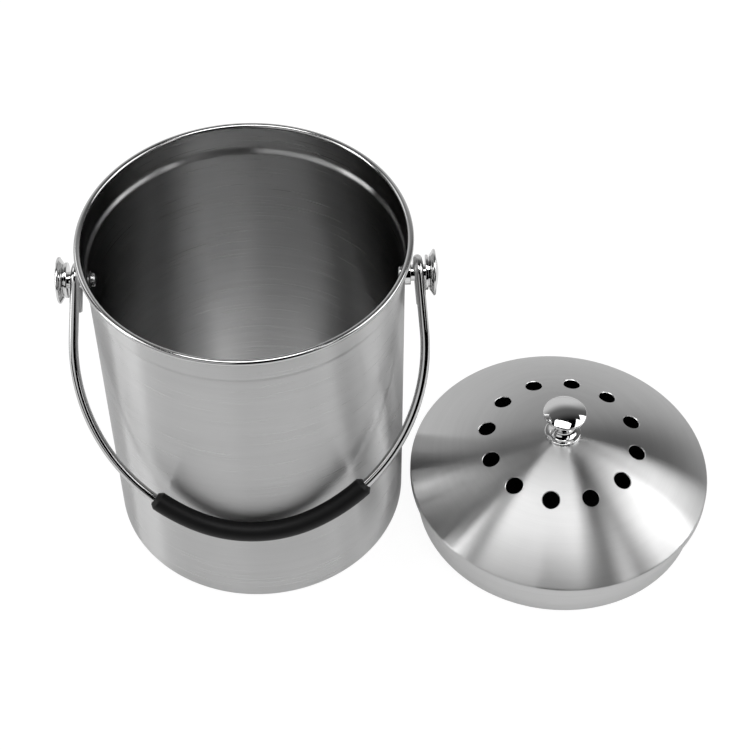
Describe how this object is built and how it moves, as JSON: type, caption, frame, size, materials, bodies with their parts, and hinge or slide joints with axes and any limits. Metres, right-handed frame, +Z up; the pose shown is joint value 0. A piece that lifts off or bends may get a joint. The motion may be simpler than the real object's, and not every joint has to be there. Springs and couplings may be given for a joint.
{
  "type": "compost caddy",
  "caption": "Round brushed steel compost pail with a swinging wire bail and grip, beside its vented, domed lift-off lid with a knob and a charcoal filter.",
  "frame": {"origin": "centre of the pail's underside, on the surface it stands on", "axes": "+Z up along the pail's axis, +X along the bail's pivot axis towards the side where the lid stands, -Y towards the side where the bail rests"},
  "size_m": [0.3916, 0.206, 0.224],
  "materials": {
    "pail_steel": "stainless sheet, brushed round the wall",
    "lid_steel": "stainless sheet, spin-brushed in rings",
    "wire_steel": "drawn stainless wire, semi-bright",
    "polished_steel": "turned and polished to a mirror",
    "fastener_steel": "plain stainless fastener",
    "grip_plastic": "black, satin",
    "seal_rubber": "matte",
    "charcoal_felt": "open carbon-loaded foam",
    "retainer_plastic": "black, moulded"
  },
  "bodies": {
    "pail": {"pail_body": "pail_steel", "left_pivot_screw": "fastener_steel", "left_seal_washer": "seal_rubber", "left_saddle_spacer": "polished_steel", "left_pivot_bush": "polished_steel", "left_pivot_cap": "polished_steel", "right_pivot_screw": "fastener_steel", "right_seal_washer": "seal_rubber", "right_saddle_spacer": "polished_steel", "right_pivot_bush": "polished_steel", "right_pivot_cap": "polished_steel"},
    "bail": {"bail_wire": "wire_steel", "bail_grip": "grip_plastic"},
    "lid": {"lid_cover": "lid_steel", "lid_skirt": "lid_steel", "lid_knob": "polished_steel", "knob_washer": "fastener_steel", "knob_screw": "fastener_steel"},
    "filter_pack": {"charcoal_filter": "charcoal_felt", "filter_retainer": "retainer_plastic"}
  },
  "joints": [
    {"name": "bail_swing", "type": "hinge", "parent": "pail", "child": "bail", "pos_m": [0, 0, 0.191], "axis": [-1, 0, 0], "range_deg": [0, 280]},
    {"name": "lid_lift", "type": "slide", "parent": "pail", "child": "lid", "axis": [0, 0, 1], "range_m": [0, 0.1]},
    {"name": "retainer_pull", "type": "slide", "parent": "lid", "child": "filter_pack", "axis": [0, 0, -1], "range_m": [0, 0.011]}
  ]
}
